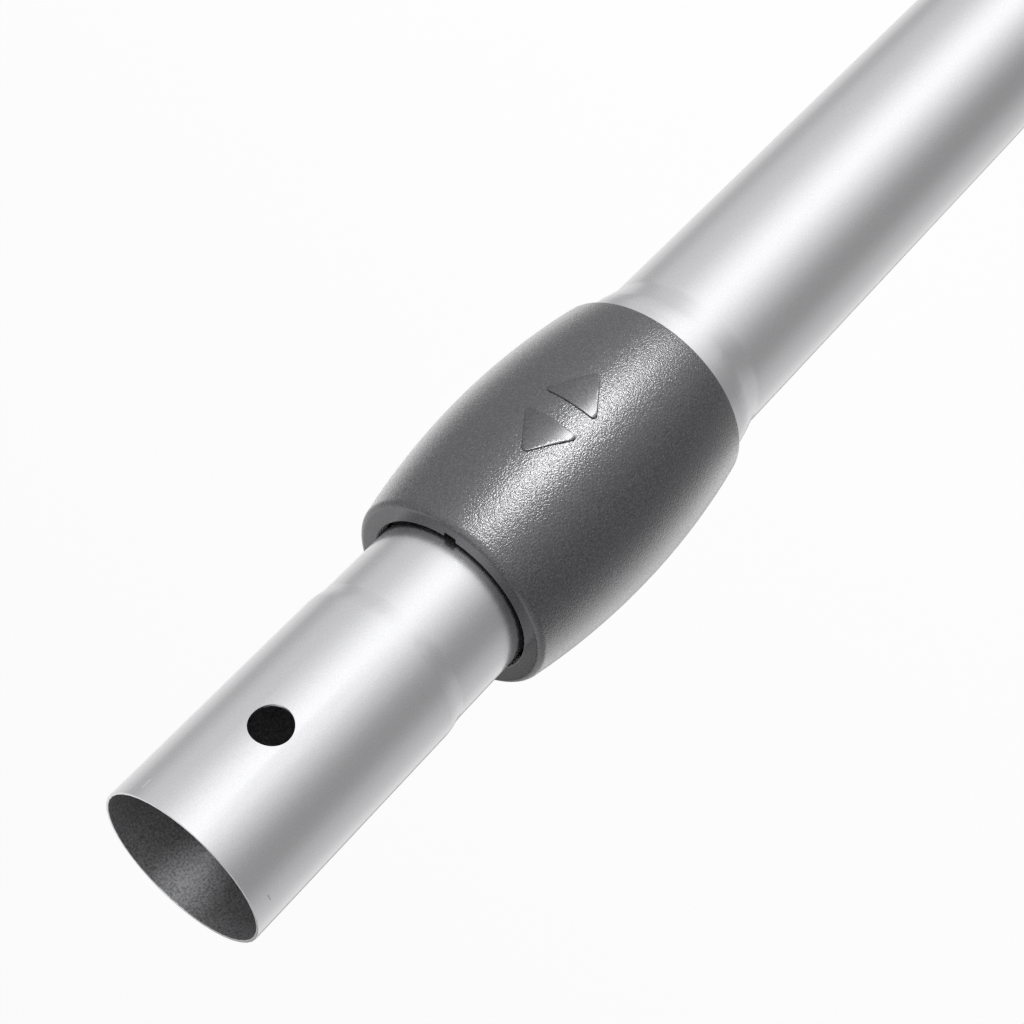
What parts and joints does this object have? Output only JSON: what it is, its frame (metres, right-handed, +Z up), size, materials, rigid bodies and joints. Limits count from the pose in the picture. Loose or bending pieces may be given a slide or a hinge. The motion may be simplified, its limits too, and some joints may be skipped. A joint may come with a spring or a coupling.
{
  "type": "telescopic vacuum wand",
  "caption": "Telescopic vacuum cleaner wand: a thin steel inner tube slides in a wider outer tube and locks in notches, and a barrel-shaped sliding collar with arrows frees it.",
  "frame": {"origin": "centre of the open handle end, on the tubes' axis, where the wand stands on the ground", "axes": "+Z up along the tubes' axis, from the handle end to the nozzle end; -Y towards the front of the wand, where the latch holes, the locking notches and the collar's two arrows are"},
  "size_m": [0.0508, 0.0511, 0.58],
  "materials": {
    "tube_steel": "satin silver",
    "collar_plastic": "fine spark-eroded grain",
    "cam_plastic": "smooth",
    "sleeve_plastic": "smooth, slippery",
    "seal_rubber": "matt",
    "spring_steel": "bright"
  },
  "bodies": {
    "outer_tube": {"outer_tube": "tube_steel", "guide_sleeve": "sleeve_plastic", "wiper_ring": "seal_rubber", "seal_ring": "seal_rubber", "spring_stop_ring": "cam_plastic", "leaf_spring": "spring_steel", "front_coil_spring": "spring_steel", "rear_coil_spring": "spring_steel"},
    "inner_tube": {"inner_tube": "tube_steel", "glide_shoe_left": "sleeve_plastic", "glide_shoe_right": "sleeve_plastic"},
    "slide_collar": {"slide_collar": "collar_plastic", "cam_ring": "cam_plastic", "collar_end_ring": "cam_plastic"},
    "locking_roller": {"locking_roller": "spring_steel"}
  },
  "joints": [
    {"name": "tube_slide", "type": "slide", "parent": "outer_tube", "child": "inner_tube", "axis": [0, 0, 1], "range_m": [0, 0.36]},
    {"name": "collar_slide", "type": "slide", "parent": "outer_tube", "child": "slide_collar", "axis": [0, 0, 1], "range_m": [-0.004, 0.004], "stiffness_N_per_m": 2000, "deforming": ["front_coil_spring", "rear_coil_spring"]},
    {"name": "roller_lift", "type": "slide", "parent": "outer_tube", "child": "locking_roller", "axis": [0, -1, 0], "range_m": [0, 0.0013], "stiffness_N_per_m": 500, "springref_m": -0.004, "deforming": ["leaf_spring"]}
  ]
}
